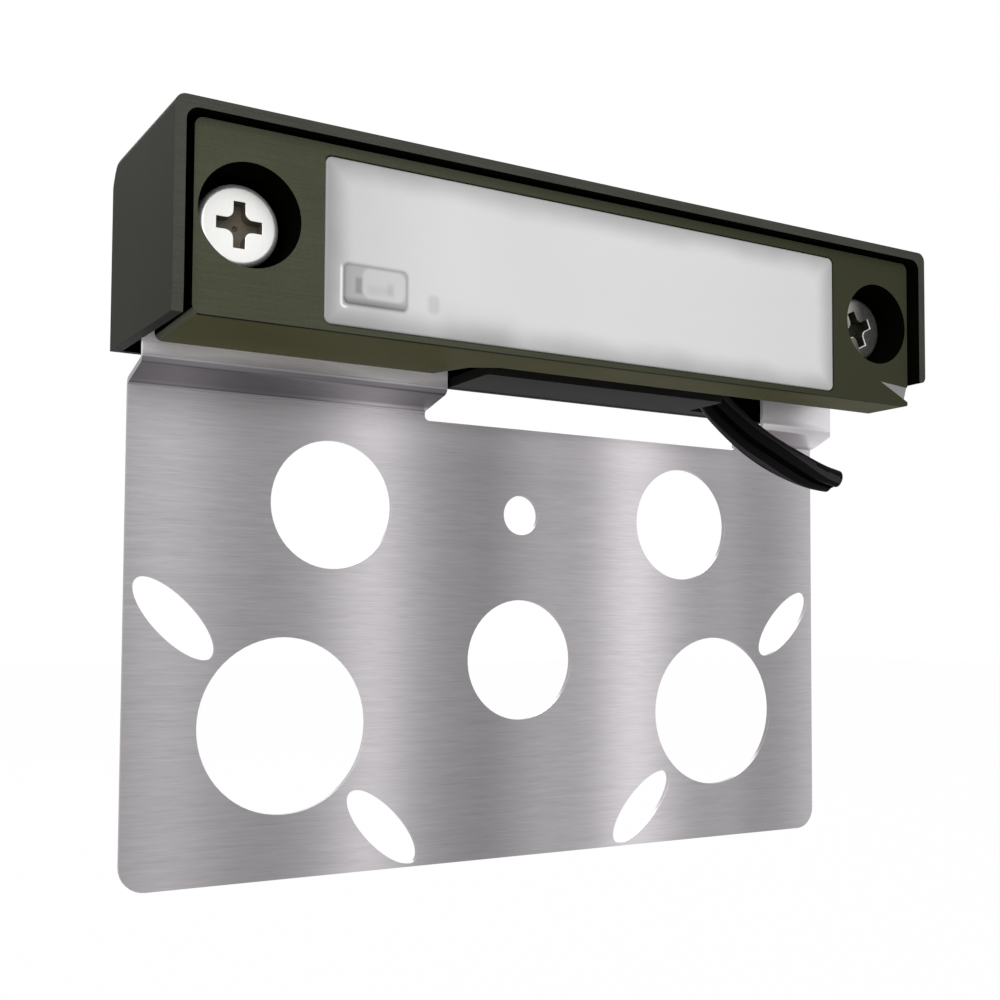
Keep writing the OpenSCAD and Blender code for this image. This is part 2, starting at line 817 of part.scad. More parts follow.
// Direction from core to core: the cord leans up as it comes out, then twists flat towards its end
function cord_across(i) =
    let (share = i / (len(cord_route) - 1), t = i == 0 ? [0, 0, -1] : cord_tangent(i),
        lean = [for (axis = [0 : 2]) lookup(share, [for (l = cord_leans) [l[0], l[1][axis]]])])
    unit(lean - (lean * t) * t);

module cord() {
    section = cord_section();
    sides = len(section);
    rings = len(cord_route);
    points = [for (i = [0 : rings - 1])
        let (t = i == 0 ? [0, 0, -1] : cord_tangent(i), u = cord_across(i), v = cross(t, u))
        for (p = section) cord_exit + cord_route[i] + u * p[0] + v * p[1]];
    walls = [for (i = [0 : rings - 2], k = [0 : sides - 1])
        let (a = i * sides + k, b = i * sides + (k + 1) % sides)
        each [[a, a + sides, b], [b, a + sides, b + sides]]];
    start = [for (k = [0 : sides - 1]) k];
    end = [for (k = [sides - 1 : -1 : 0]) (rings - 1) * sides + k];
    color("#2a2a2c")
        polyhedron(points = points, faces = concat(walls, [start, end]));
}

// Screws

// Outline of the cross, with filleted inner corners
function cross_outline() =
    let (a = cross_len / 2, b = cross_w / 2)
    rounded(
        [[a, -b], [a, b], [b, b], [b, a], [-b, a], [-b, b],
            [-a, b], [-a, -b], [-b, -b], [-b, -a], [b, -a], [b, -b]],
        [for (k = [0 : 11]) k % 3 == 2 ? cross_fillet_r : 0]);

module cross_recess() {
    slab([head_y - over, head_y + cross_depth], cross_outline());
    round_bar(0, 0, [head_y, head_y + cross_depth + cross_w / 2], cross_core_r, 0);
}

module clamp_screw() {
    head = rounded(
        [[0, head_y], [screw_head_d / 2, head_y], [screw_head_d / 2, head_seat_y], [0, head_seat_y]],
        [0, head_edge_r, 0, 0]);
    difference() {
        union() {
            rotate([90, 0, 0])
                mirror([0, 0, 1])
                    rotate_extrude()
                        polygon(head);
            round_bar(0, 0, [head_seat_y - washer_t, screw_end_y], screw_d / 2);
        }
        cross_recess();
    }
}

module clamp_screw_left() {
    color("#e4e4e2")
        translate([-screw_x, 0, screw_z])
            clamp_screw();
}

module clamp_screw_right() {
    color("#e4e4e2")
        translate([screw_x, 0, screw_z])
            rotate([0, -right_screw_turn, 0])
                clamp_screw();
}

module screw_washers() {
    color("#8f9092")
        at_clamp_screws()
            difference() {
                round_bar(0, 0, [head_seat_y, washer_back_y], washer_r);
                round_bar(0, 0, [head_seat_y - over, washer_back_y + over], screw_d / 2 + washer_gap);
            }
}

housing();
mounting_plate();
module_body();
lens();
lens_gasket();
led_board();
leds();
bridge_rectifier();
driver_chip();
sense_resistors();
capacitors();
inductor();
thermal_pad();
lead_positive();
lead_negative();
solder_joints();
potting();
cover_gasket();
back_cover();
back_cover_screws();
cable_boot();
cord();
clamp_screw_left();
clamp_screw_right();
screw_washers();
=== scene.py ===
# %% [markdown]
# # A hardscape light, dressed for its picture
# This lesson gives looks to a small light for stone walls. Its shapes come from a CAD model: a bronze
# hood, a module with a frosted lens, and a folded steel plate that lies in a joint between stones.
# The pieces could be modelled again here, but then two models would have to agree. So each piece but
# the cord starts from the CAD model's own mesh, in metres and in the CAD model's own frame.

# %% Loading the CAD model
import math

import bmesh
import bpy
from mathutils import Matrix, Vector


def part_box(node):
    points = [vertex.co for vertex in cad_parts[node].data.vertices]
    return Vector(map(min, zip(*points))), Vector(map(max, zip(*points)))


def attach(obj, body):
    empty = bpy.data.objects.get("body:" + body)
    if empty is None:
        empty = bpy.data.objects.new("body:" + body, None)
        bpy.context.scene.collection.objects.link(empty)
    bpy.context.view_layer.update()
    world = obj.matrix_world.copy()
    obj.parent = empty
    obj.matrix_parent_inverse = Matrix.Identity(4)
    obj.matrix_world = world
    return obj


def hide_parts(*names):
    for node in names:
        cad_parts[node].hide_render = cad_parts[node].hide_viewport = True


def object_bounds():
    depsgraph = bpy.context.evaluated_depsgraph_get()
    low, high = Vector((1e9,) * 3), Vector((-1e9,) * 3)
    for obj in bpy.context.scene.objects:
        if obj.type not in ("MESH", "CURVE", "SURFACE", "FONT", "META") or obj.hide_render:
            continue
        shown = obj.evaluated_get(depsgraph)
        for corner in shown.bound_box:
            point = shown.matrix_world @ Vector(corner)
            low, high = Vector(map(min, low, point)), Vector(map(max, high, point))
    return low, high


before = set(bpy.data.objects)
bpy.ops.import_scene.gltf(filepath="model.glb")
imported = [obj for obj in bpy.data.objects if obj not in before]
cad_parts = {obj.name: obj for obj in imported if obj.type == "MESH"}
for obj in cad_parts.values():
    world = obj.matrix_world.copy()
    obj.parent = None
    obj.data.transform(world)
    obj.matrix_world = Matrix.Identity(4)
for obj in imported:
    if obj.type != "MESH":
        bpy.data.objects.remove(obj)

MM = 0.001
cad_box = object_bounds()
print("CAD nodes:", len(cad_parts))

# %% [markdown]
# ## The camera
# The photo was taken from the left and a little below the lens. A camera could be set by eye, but
# then no edge would lie where the photo has it. So its place, turn and focal length were fitted to
# the plate's holes and the hood's edges. A lens shift keeps the crop of the photo without a turn.

# %% The camera
SENSOR = 36
CAMERA_PLACE = Vector((-81.0, -138.4, -14.4)) * MM
CAMERA_AZIMUTH = math.radians(30.34)
CAMERA_ELEVATION = math.radians(2.73)
CAMERA_ROLL = math.radians(0.27)
CAMERA_LENS = 45.67
CAMERA_SHIFT = (-0.0184, 0.069)
CAMERA_CLIP = (0.005, 20)

camera = bpy.data.objects.new("photo_camera", bpy.data.cameras.new("photo_camera"))
camera.data.sensor_width = SENSOR
camera.data.lens = CAMERA_LENS
camera.data.shift_x, camera.data.shift_y = CAMERA_SHIFT
camera.data.clip_start, camera.data.clip_end = CAMERA_CLIP
turn = Matrix.Rotation(-CAMERA_AZIMUTH, 4, "Z") @ Matrix.Rotation(math.pi / 2 + CAMERA_ELEVATION, 4, "X")
camera.matrix_world = Matrix.Translation(CAMERA_PLACE) @ turn @ Matrix.Rotation(CAMERA_ROLL, 4, "Z")
bpy.context.scene.collection.objects.link(camera)
bpy.context.scene.camera = camera
print("Camera at", [round(v, 4) for v in camera.location])

# %% [markdown]
# ## Formulas on sockets
# Real coats change over a surface, so a finish is a small formula. Its nodes could be placed by hand
# in the shader editor, but a long formula is hard to read there. So one class wraps a socket, and
# Python's own signs for sums and products add the Math nodes.

# %% Formulas on sockets
class Wire:
    """A number that flows through a node tree."""

    def __init__(self, nodes, socket):
        self.nodes = nodes
        self.socket = socket

    def math(self, operation, *others):
        return self.nodes.node("ShaderNodeMath", {"operation": operation}, [self, *others])

    def __add__(self, other):
        return self.math("ADD", other)

    def __radd__(self, other):
        return self.math("ADD", other)

    def __sub__(self, other):
        return self.math("SUBTRACT", other)

    def __rsub__(self, other):
        return self.nodes.node("ShaderNodeMath", {"operation": "SUBTRACT"}, [other, self])

    def __mul__(self, other):
        return self.math("MULTIPLY", other)

    def __rmul__(self, other):
        return self.math("MULTIPLY", other)

    def __truediv__(self, other):
        return self.math("DIVIDE", other)

    def __rtruediv__(self, other):
        return self.nodes.node("ShaderNodeMath", {"operation": "DIVIDE"}, [other, self])

    def least(self, other):
        return self.math("MINIMUM", other)

    def most(self, other):
        return self.math("MAXIMUM", other)

    def size(self):
        return self.math("ABSOLUTE")


print("Wire can add, subtract, multiply and divide")

# %% [markdown]
# ## Node trees and finishes
# A material and the world are both node trees, and both need the same: a node that is made, set and
# connected. Each could have its own code, but one method in a base class serves both. The class for
# materials adds what the finishes share, such as noise in the object's own coordinates, which stays
# on the surface when the object moves.

# %% Node trees and finishes
class Nodes:
    """A node tree, with one way to add any node to it."""

    def __init__(self, tree):
        self.tree = tree

    def connect(self, socket, value):
        if isinstance(value, Wire):
            self.tree.links.new(value.socket, socket)
        else:
            socket.default_value = value

    def node(self, kind, settings, values, output=0):
        """Sets the settings first, then gives each socket its value or wire."""
        made = self.tree.nodes.new(kind)
        for name, value in settings.items():
            setattr(made, name, value)
        pairs = values.items() if isinstance(values, dict) else enumerate(values)
        for key, value in pairs:
            self.connect(made.inputs[key], value)
        return Wire(self, made.outputs[output])


class Finish(Nodes):
    """A material, with short ways to write its formulas."""

    def __init__(self, name, **settings):
        self.material = bpy.data.materials.new(name)
        self.material.use_nodes = True
        super().__init__(self.material.node_tree)
        self.shader = self.tree.nodes["Principled BSDF"]
        for socket, value in settings.items():
            self.shader.inputs[socket.replace("_", " ")].default_value = value

    def place(self):
        return self.node("ShaderNodeTexCoord", {}, {}, "Object")

    def along(self, axis):
        """The point's own coordinate along one axis, in metres."""
        return self.node("ShaderNodeSeparateXYZ", {}, [self.place()], axis)

    def noise(self, stretch, detail=2, roughness=0.5):
        """Noise whose grains are 1 / stretch metres along each axis."""
        grains = self.node("ShaderNodeVectorMath", {"operation": "MULTIPLY"}, [self.place(), stretch])
        values = {"Vector": grains, "Scale": 1, "Detail": detail, "Roughness": roughness}
        return self.node("ShaderNodeTexNoise", {}, values, "Fac")

    def step(self, value, low, high):
        """Turns softly from 0 to 1 while the value goes from low to high."""
        values = {"Value": value, "From Min": low, "From Max": high}
        return self.node("ShaderNodeMapRange", {"interpolation_type": "SMOOTHSTEP"}, values)

    def rise(self, value, low, high):
        """A step whose two limits are millimetres."""
        return self.step(value, low * MM, high * MM)

    def tint(self, share, first, second):
        """A colour between two colours; the first may be a wire."""
        values = {0: share, 6: first if isinstance(first, Wire) else (*first, 1), 7: (*second, 1)}
        return self.node("ShaderNodeMix", {"data_type": "RGBA"}, values, 2)

    def grey(self, value):
        return self.node("ShaderNodeCombineColor", {}, [value, value, value])

    def tinted_grey(self, value, tint):
        return self.node("ShaderNodeCombineColor", {}, [value * part for part in tint])

    def bump(self, height, depth):
        """A surface that is moved by up to depth millimetres."""
        return self.node("ShaderNodeBump", {}, {"Height": height, "Distance": depth * MM})

    def set(self, socket, value):
        self.connect(self.shader.inputs[socket], value)
        return self


print("Nodes and Finish are ready")

# %% [markdown]
# ## Helpers for pieces
# A CAD node is a heap of loose triangles with razor-sharp edges. Real castings, sheets and mouldings
# have small round edges, which catch the light. A Bevel modifier could round them, but it can't join
# the triangles of a flat side first. So a copy of the node is merged, its flat areas are made whole,
# and bmesh's own bevel rounds its sharp edges.

# %% Meshes from CAD nodes
MERGE_DISTANCE = 1e-6
FLAT_ANGLE = math.radians(0.4)
SHARP_ANGLE = math.radians(28)
EDGE_SEGMENTS = 2
WIDE_SEGMENTS = 4


def corners(node):
    """The low and the high corner of a CAD node's box, in millimetres."""
    return [Vector([round(v / MM, 2) for v in corner]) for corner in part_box(node)]


def merged(node):
    """A mesh with the node's shape, in one skin with whole flat faces."""
    bm = bmesh.new()
    bm.from_mesh(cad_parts[node].data)
    bmesh.ops.remove_doubles(bm, verts=bm.verts, dist=MERGE_DISTANCE)
    bmesh.ops.dissolve_limit(bm, angle_limit=FLAT_ANGLE, verts=bm.verts, edges=bm.edges)
    return bm


def round_edges(bm, width, segments=EDGE_SEGMENTS, keep=lambda edge: True):
    """Bevels the sharp edges that keep() accepts, by a width in millimetres."""
    inner = [e for e in bm.edges if len(e.link_faces) == 2]
    sharp = [e for e in inner if e.calc_face_angle(0) > SHARP_ANGLE and keep(e)]
    bmesh.ops.bevel(bm, geom=sharp, offset=width * MM, segments=segments, affect="EDGES", profile=0.5,
                    material=-1, clamp_overlap=True)


def middle_of(edge):
    """The middle of an edge, in millimetres."""
    return (edge.verts[0].co + edge.verts[1].co) / 2 / MM


def paint(bm, index, wanted):
    """Gives the faces that wanted(middle, normal) accepts another of the piece's finishes."""
    for face in bm.faces:
        if wanted(face.calc_center_median() / MM, face.normal):
            face.material_index = index


light_low, light_high = [Vector(corner) / MM for corner in cad_box]
print("The light is", " x ".join(f"{side:.1f}" for side in light_high - light_low), "mm")

# %% [markdown]
# ## From a mesh to a piece
# A finished mesh becomes an object that rides on the light and stands for its CAD node. Its shading
# could be flat or smooth all over, but a casting is both: smooth round its edges and flat on its
# sides. So all faces are smooth, true corners stay sharp, and the large flat sides decide the
# normals. Hidden parts keep the CAD node's own mesh and only get a finish.

# %% From a mesh to a piece
def finished(bm, name, slot, *finishes, replaces):
    """Turns a mesh into a piece that rides on the light."""
    for face in bm.faces:
        face.smooth = True
    mesh = bpy.data.meshes.new(name)
    bm.to_mesh(mesh)
    bm.free()
    mesh.set_sharp_from_angle(angle=SHARP_ANGLE)
    piece = bpy.data.objects.new(name, mesh)
    bpy.context.scene.collection.objects.link(piece)
    for finish in finishes:
        mesh.materials.append(finish.material)
    weighted = piece.modifiers.new("weighted", "WEIGHTED_NORMAL")
    weighted.keep_sharp = True
    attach(piece, "root")
    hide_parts(*replaces)
    print(f"{name}: {len(mesh.polygons)} faces")
    return piece


def softened(node, name, slot, width, *finishes, segments=EDGE_SEGMENTS, areas=(), wide=()):
    """A rounded piece in a node's place. The areas are faces that take its second, third... finish,
    and wide pairs a test for edges with the width of their own bevel."""
    bm = merged(node)
    for wanted_edge, wider in wide:
        round_edges(bm, wider, WIDE_SEGMENTS, wanted_edge)
    round_edges(bm, width, segments)
    for index, wanted in enumerate(areas, start=1):
        paint(bm, index, wanted)
    finished(bm, name, slot, *finishes, replaces=[node])


def dress(node, finish):
    """Gives a CAD node that keeps its own mesh its finish."""
    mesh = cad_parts[node].data
    mesh.materials.clear()
    mesh.materials.append(finish.material)


print("Helpers for pieces are ready")

# %% [markdown]
# ## The cord's route
# A short black twin lead leaves the boot, drops past the tongue and turns towards the end of the
# light. The CAD node's mesh could be kept, but its facets show from near. So the cord is made again
# on the same route: the points are the CAD model's own, and a smooth curve joins them.

# %% The cord's route
CORD_EXIT = Vector((26.5, -1.85, 26.4))
CORD_STEPS = [
    (0, 0, 0), (0, 0, -1.4), (0, -0.1, -2.8), (0.1, -0.3, -4.2), (0.5, -0.5, -5.6), (1.1, -0.8, -7.1),
    (2, -1.1, -8.6), (3.1, -1.5, -10.2), (4.4, -2.2, -11.8), (5.7, -3.1, -13.4), (7, -4.1, -14.9),
    (8.6, -5.1, -16.3), (10.3, -5.9, -17.4), (12.1, -6.5, -18.3), (14.1, -6.9, -19.1), (16.1, -7.2, -19.7),
    (18.4, -7.4, -20.1)]
STEPS_PER_POINT = 4

route = [(CORD_EXIT + Vector(p)) * MM for p in CORD_STEPS]


def on_route(t):
    """A point on a smooth curve through the route's points; t counts points."""
    i = min(int(t), len(route) - 2)
    u = t - i
    a, b = route[max(i - 1, 0)], route[i]
    c, d = route[i + 1], route[min(i + 2, len(route) - 1)]
    return 0.5 * (2 * b + (c - a) * u + (2 * a - 5 * b + 4 * c - d) * u**2 + (3 * b - a - 3 * c + d) * u**3)


ring_count = (len(route) - 1) * STEPS_PER_POINT + 1
centres = [on_route(k / STEPS_PER_POINT) for k in range(ring_count)]
cord_length = sum((b - a).length for a, b in zip(centres, centres[1:]))
print(f"cord: {cord_length / MM:.1f} mm along its middle")

# %% [markdown]
# ## The cord's rings
# The lead is two round cores side by side, and it twists on its way. A curve with a bevel object
# could draw it, but its twist is hard to place. So each ring is a circle that is pulled into two
# lobes and set square to the route, with its lean given at three places.

# %% The cord's rings
CORE_RADIUS = 1.15 * MM
CORE_OFFSET = 1.05 * MM
CORD_LEANS = [(0, Vector((0, -1, 0))), (0.7, Vector((0.35, -0.45, 0.8))), (1, Vector((0, -0.9, 0.2)))]
CORD_SIDES = 56
LOBE_ANGLE = math.radians(130)


def lean_at(share):
    """The direction from core to core at a share of the route: it leans up, then twists flat."""
    for (start, first), (end, second) in zip(CORD_LEANS, CORD_LEANS[1:]):
        if share <= end:
            return first.lerp(second, (share - start) / (end - start))


def cord_frame(k):
    """The matrix that sets a ring square to the route."""
    along = (centres[min(k + 1, ring_count - 1)] - centres[max(k - 1, 0)]).normalized()
    lean = lean_at(k / (ring_count - 1))
    across = (lean - lean.dot(along) * along).normalized()
    upright = along.cross(across)
    turned = Matrix((across, upright, along)).transposed().to_4x4()
    return Matrix.Translation(centres[k]) @ turned


def two_lobes(point):
    """Moves a point of a circle round the middle onto the outline of two joined cores."""
    angle = math.atan2(point.y, abs(point.x))
    lobe = angle * LOBE_ANGLE / (math.pi / 2)
    side = math.copysign(1, point.x)
    return Vector((side * (CORE_OFFSET + CORE_RADIUS * math.cos(lobe)), CORE_RADIUS * math.sin(lobe), 0))


def ring(bm, k):
    """Adds a ring of the cord and returns its edges."""
    turned = Matrix.Rotation(math.pi / CORD_SIDES, 4, "Z")
    made = bmesh.ops.create_circle(bm, radius=1, segments=CORD_SIDES, matrix=turned)["verts"]
    for vert in made:
        vert.co = cord_frame(k) @ two_lobes(vert.co)
    return list(dict.fromkeys(e for v in made for e in v.link_edges))


print(f"cord: {ring_count} rings of {CORD_SIDES} points")

# %% [markdown]
# ## The cord's skin
# Neighbouring rings are bridged into one closed skin. A soft highlight along each core could come
# from a lamp, but that lamp would light the plate too. So two strips take a painted highlight, the
# groove a painted shade, and the cut end a finish of its own.

# %% The cord's skin
GROOVE_HALF = 0.1 * MM
HIGHLIGHT_UPPER = (18, 62)
HIGHLIGHT_LOWER = (30, 72)
JACKET, CUT_END, GROOVE_SHADE, HIGHLIGHT = range(4)


def cord_finish_index(face):
    """Which finish a face takes. The painted highlight is on the upper side of each core, and the groove
    takes painted shade.
    """
    middle = face.calc_center_median()
    nearest = min(range(ring_count), key=lambda k: (middle - centres[k]).length)
    if len(face.verts) == CORD_SIDES:
        return CUT_END if nearest == ring_count - 1 else JACKET
    local = cord_frame(nearest).inverted() @ middle
    if abs(local.x) < GROOVE_HALF:
        return GROOVE_SHADE
    angle = math.degrees(math.atan2(local.y, abs(local.x) - CORE_OFFSET))
    low, high = HIGHLIGHT_UPPER if local.x > 0 else HIGHLIGHT_LOWER
    return HIGHLIGHT if low < angle < high else JACKET


def cord_mesh():
    bm = bmesh.new()
    last = first = ring(bm, 0)
    for k in range(1, ring_count):
        new = ring(bm, k)
        bmesh.ops.bridge_loops(bm, edges=last + new)
        last = new
    for end in (first, last):
        bmesh.ops.edgeloop_fill(bm, edges=end)
    bmesh.ops.recalc_face_normals(bm, faces=bm.faces)
    for face in bm.faces:
        face.material_index = cord_finish_index(face)
    return bm


cord_bm = cord_mesh()
print("cord skin:", len(cord_bm.faces), "faces")

# %% [markdown]
# ## The studio's white
# The photo has a plain white background. A very bright world would give one, but it would bleach the
# light too. So the world and the floor turn white only for rays that see them, straight or in a
# reflection, and the rays that light the object find them dim.

# %% White for the rays that see it
WHITE = (1, 1, 1, 1)
SEEING_RAYS = ("Is Camera Ray", "Is Glossy Ray", "Is Transmission Ray")


def white_to_the_eye(nodes, surface, white_kind, strength, output):
    """Mixes plain white into a shader for the rays that see it."""
    rays = [nodes.node("ShaderNodeLightPath", {}, {}, ray) for ray in SEEING_RAYS]
    seen = rays[0].most(rays[1]).most(rays[2])
    white = nodes.node(white_kind, {}, {"Color": WHITE})
    mixed = nodes.node("ShaderNodeMixShader", {}, [seen * strength, Wire(nodes, surface.outputs[0]), white])
    nodes.connect(nodes.tree.nodes[output].inputs["Surface"], mixed)


print("White for:", ", ".join(SEEING_RAYS))

# %% The world
WORLD_LIGHT = 0.42

world = bpy.data.worlds.new("studio")
world.use_nodes = True
bpy.context.scene.world = world
ambient = world.node_tree.nodes["Background"]
ambient.inputs["Color"].default_value = WHITE
ambient.inputs["Strength"].default_value = WORLD_LIGHT
white_to_the_eye(Nodes(world.node_tree), ambient, "ShaderNodeBackground", 1, "World Output")
print("World light:", WORLD_LIGHT)

# %% [markdown]
# ## The floor
# In the photo the light hangs free, well above anything. A floor isn't seen there, but a real studio
# has one and it sends light back up. So a wide pale floor lies below the picture, far enough down to
# take no hard shadow.

# %% The floor
FLOOR_HEIGHT = -0.103
FLOOR_SIDE = 6
FLOOR_GREY = (0.9, 0.9, 0.9, 1)
FLOOR_WHITE = 0.985

floor_finish = Finish("floor", Base_Color=FLOOR_GREY, Roughness=0.9)
white_to_the_eye(floor_finish, floor_finish.shader, "ShaderNodeEmission", FLOOR_WHITE, "Material Output")
floor_bm = bmesh.new()
bmesh.ops.create_grid(floor_bm, x_segments=1, y_segments=1, size=FLOOR_SIDE / 2,
                      matrix=Matrix.Translation((0, 0, FLOOR_HEIGHT)))
floor_mesh = bpy.data.meshes.new("floor")
floor_bm.to_mesh(floor_mesh)
floor_bm.free()
floor_mesh.materials.append(floor_finish.material)
floor = bpy.data.objects.new("floor", floor_mesh)
bpy.context.scene.collection.objects.link(floor)
print("Floor at", FLOOR_HEIGHT, "m")

# %% [markdown]
# ## The lamps
# The photo's light is soft and comes from the left, above and in front. One lamp could do, but the
# hood's top would sink into black. So a key lamp lights the front, and a larger one behind lights the
# upper edges. Both are areas, because a point would draw hard shadows.

# %% The lamps
LAMPS = {
    "key_lamp": {"place": (-0.17, -0.22, 0.15), "size": 0.3, "power": 0.62},
    "back_lamp": {"place": (0.1, 0.6, 0.5), "size": 0.5, "power": 2},
}

for name, lamp in LAMPS.items():
    light = bpy.data.lights.new(name, "AREA")
    light.size = lamp["size"]
    light.energy = lamp["power"]
    holder = bpy.data.objects.new(name, light)
    holder.location = lamp["place"]
    holder.rotation_euler = (-Vector(lamp["place"])).to_track_quat("-Z", "Y").to_euler()
    bpy.context.scene.collection.objects.link(holder)
bpy.context.scene.view_settings.view_transform = "Standard"
print("Lamps:", ", ".join(LAMPS))

# %% [markdown]
# ## The bronze coat
# The hood and the module wear a dark bronze coat with a trace of olive. Close up it has a fine grain
# and faint lines that run along the light, left by the brushing below the coat. Two colours and
# noise are enough for both: noise that is stretched along X gives the lines, and plain fine noise the
# grain. A photo of a coat could be laid on instead, but it would blur from near.

# %% The recipe for bronze
GRAIN = (4200, 4200, 4200)
BRUSHING = (160, 2600, 5200)
CLOUDS = (90, 90, 90)
COAT_BUMP = 0.012
BARE_LINES = (300, 300, 5000)
BARE_GREY = 0.27
BARE_ROUGHNESS = 0.42
RIGHT_SHADE_X = (-45, 48)
SHADE_STRIP_COLOUR = (0.003, 0.003, 0.002)


def bronze(name, dark, light, roughness, shine=0.25, right_shade=None, shade_strip_y=None):
    """A bronze coat. As painted shade it can turn darker from left to right, to a given colour at
    the cord's end of the light, and be painted nearly black in a strip along an underside's front edge."""
    finish = Finish(name, Metallic=0.0, Specular_IOR_Level=shine)
    grain = finish.noise(GRAIN)
    lines = finish.noise(BRUSHING, detail=3, roughness=0.6)
    clouds = finish.noise(CLOUDS)
    share = finish.step(0.3 * grain + 0.4 * lines + 0.3 * clouds, 0.3, 0.7)
    colour = finish.tint(share, dark, light)
    # Painted shade: darker from left to right along X.
    if right_shade:
        colour = finish.tint(finish.rise(finish.along("X"), *RIGHT_SHADE_X), colour, right_shade)
    # Painted shade: a nearly black strip along the front edge.
    if shade_strip_y:
        shade_strip = 1 - finish.rise(finish.along("Y"), shade_strip_y - 0.1, shade_strip_y + 0.05)
        colour = finish.tint(shade_strip, colour, SHADE_STRIP_COLOUR)
    finish.set("Base Color", colour)
    finish.set("Roughness", roughness + 0.16 * (grain - 0.5) + 0.1 * (lines - 0.5))
    return finish.set("Normal", finish.bump(0.7 * grain + 0.3 * lines, COAT_BUMP))


def bare_metal():
    """Where the notch cuts through the coat."""
    finish = Finish("bare_metal", Metallic=1.0)
    lines = finish.noise(BARE_LINES, detail=3)
    finish.set("Base Color", finish.grey(BARE_GREY + 0.1 * (lines - 0.5)))
    return finish.set("Roughness", BARE_ROUGHNESS + 0.1 * (lines - 0.5))


print("The recipe for bronze is ready")

# %% [markdown]
# ## Bronze on each side
# One coat all over would be true to the object, but the photo's light on each side can't be rebuilt
# with a few lamps. So the hood's front, its end walls, the tongue, the module's face and its underside
# each have their own dark and light colour, from the same recipe: lit and shaded copies of one coat,
# with the end walls and the tongue painted darker as shade.

# %% Bronze on each side
module_low, module_high = corners("module_body")
SHADE_STRIP_WIDTH = 0.6

hood_finish = bronze("hood_coat", (0.052, 0.053, 0.044), (0.072, 0.074, 0.062), 0.42, shine=0.02)
# The end walls and the tongue: copies of the coat painted darker as shade.
shaded_end_finish = bronze("hood_end_coat_shaded", (0.0195, 0.02, 0.0142), (0.0275, 0.0285, 0.02), 0.44, shine=0.01)
shaded_tongue_finish = bronze("tongue_coat_shaded", (0.013, 0.012, 0.0115), (0.02, 0.019, 0.018), 0.6, shine=0.05)
# The module's face, painted darker towards the cord's end as shade.
module_finish = bronze("module_coat", (0.06, 0.063, 0.041), (0.08, 0.084, 0.055), 0.46, shine=0.03,
                       right_shade=(0.045, 0.047, 0.026))
# The module's underside, with a nearly black painted shade along its front edge.
under_finish = bronze("underside_coat", (0.058, 0.057, 0.022), (0.08, 0.078, 0.031), 0.5, shine=0.02,
                      shade_strip_y=module_low.y + SHADE_STRIP_WIDTH)
# A painted highlight for the counterbores' rounded edges.
edge_highlight_finish = bronze("edge_highlight", (0.1, 0.104, 0.08), (0.14, 0.145, 0.115), 0.4)
cover_finish = bronze("cover_coat", (0.036, 0.037, 0.027), (0.048, 0.049, 0.037), 0.5)
# A near-black painted shade for the hollows and hidden faces, where shade falls.
painted_shade_finish = bronze("painted_shade_coat", (0.0015, 0.0015, 0.0009), (0.003, 0.003, 0.0018), 0.6, shine=0.0)
bare_finish = bare_metal()
print("Bronze finishes are ready")

# %% [markdown]
# ## The brushed steel
# The plate is stainless sheet, brushed along its length. Brushing leaves fine bright and dark lines
# along X, and a studio's panels lie on it as broad soft bands. Such panels could be built, but the
# bands would change with each view. So they are painted reflections in the finish: a sum of five
# smooth bumps, each with a place, a width and a strength, and a low wide one between them.

# %% Bands on the steel
BAND_BASE = 0.2
# Painted reflections of the studio's panels: a place and a width in millimetres, and a strength.
REFLECTION_BANDS = [(-44.5, 10, 0.19), (-20.4, 9, 0.33), (17.6, 10.5, 0.43), (33.5, 6.5, 0.09), (52, 11, 0.3)]
MIDDLE_X = 3
MIDDLE_HALF = 9
MIDDLE_LIFT = 0.09


def reflection_level(finish, along):
    """The steel's level at a place along the plate, with the painted reflections of the panels."""
    level = BAND_BASE
    for place, width, strength in REFLECTION_BANDS:
        away = (along - place * MM) / (width * MM)
        level = level + strength / ((1 + away * away) * (1 + away * away))
    return level + MIDDLE_LIFT * (1 - finish.rise((along - MIDDLE_X * MM).size(), 0, MIDDLE_HALF))


print("Bands at", [place for place, width, strength in REFLECTION_BANDS], "mm")

# %% [markdown]
# ## Steel that is folded
# The fold turns its face to the ground and is dark in the photo, and the tabs above it are bright.
# Three finishes could be painted on three areas, but their borders would show as steps. So one finish
# changes with the height, with painted shade on the fold and painted light on the tabs and below the
# hood, and the right tab, which the photo shows nearly as bright all over, takes less of it.

# %% Brushed steel
BRUSH_LINES = (260, 260, 6400)
BRUSH_STREAKS = (60, 60, 1700)
STEEL_TINT = (1.02, 0.975, 1.02)
STEEL_BUMP = 0.006
STEEL_ROUGHNESS = 0.32
LINE_WEAR = 0.42
STREAK_WEAR = 0.18
FOLD_FOOT = 12.1
TAB_FOOT = 13.62
FOOT_SOFT = 0.2
RIGHT_TAB_X = (25, 36)
FOLD_END_X = (-34, -15)
UNDER_HOOD_X = (-40, -15)
UNDER_HOOD_Z = (5, 10.5)
PLATE_SHARE = 1.05
BEND_SHARE = 0.62
FOLD_DROP = 0.24
FOLD_END_DROP = 0.25
FOLD_RIGHT_LIFT = 0.7
UNDER_HOOD_LIFT = 0.24
UNDER_HOOD_RIGHT_SHARE = 0.5
TAB_LIFT = 0.82
TAB_TOP_LIFT = 1.6
TAB_RIGHT_SHARE = 0.13
TAB_DULLNESS = 0.45


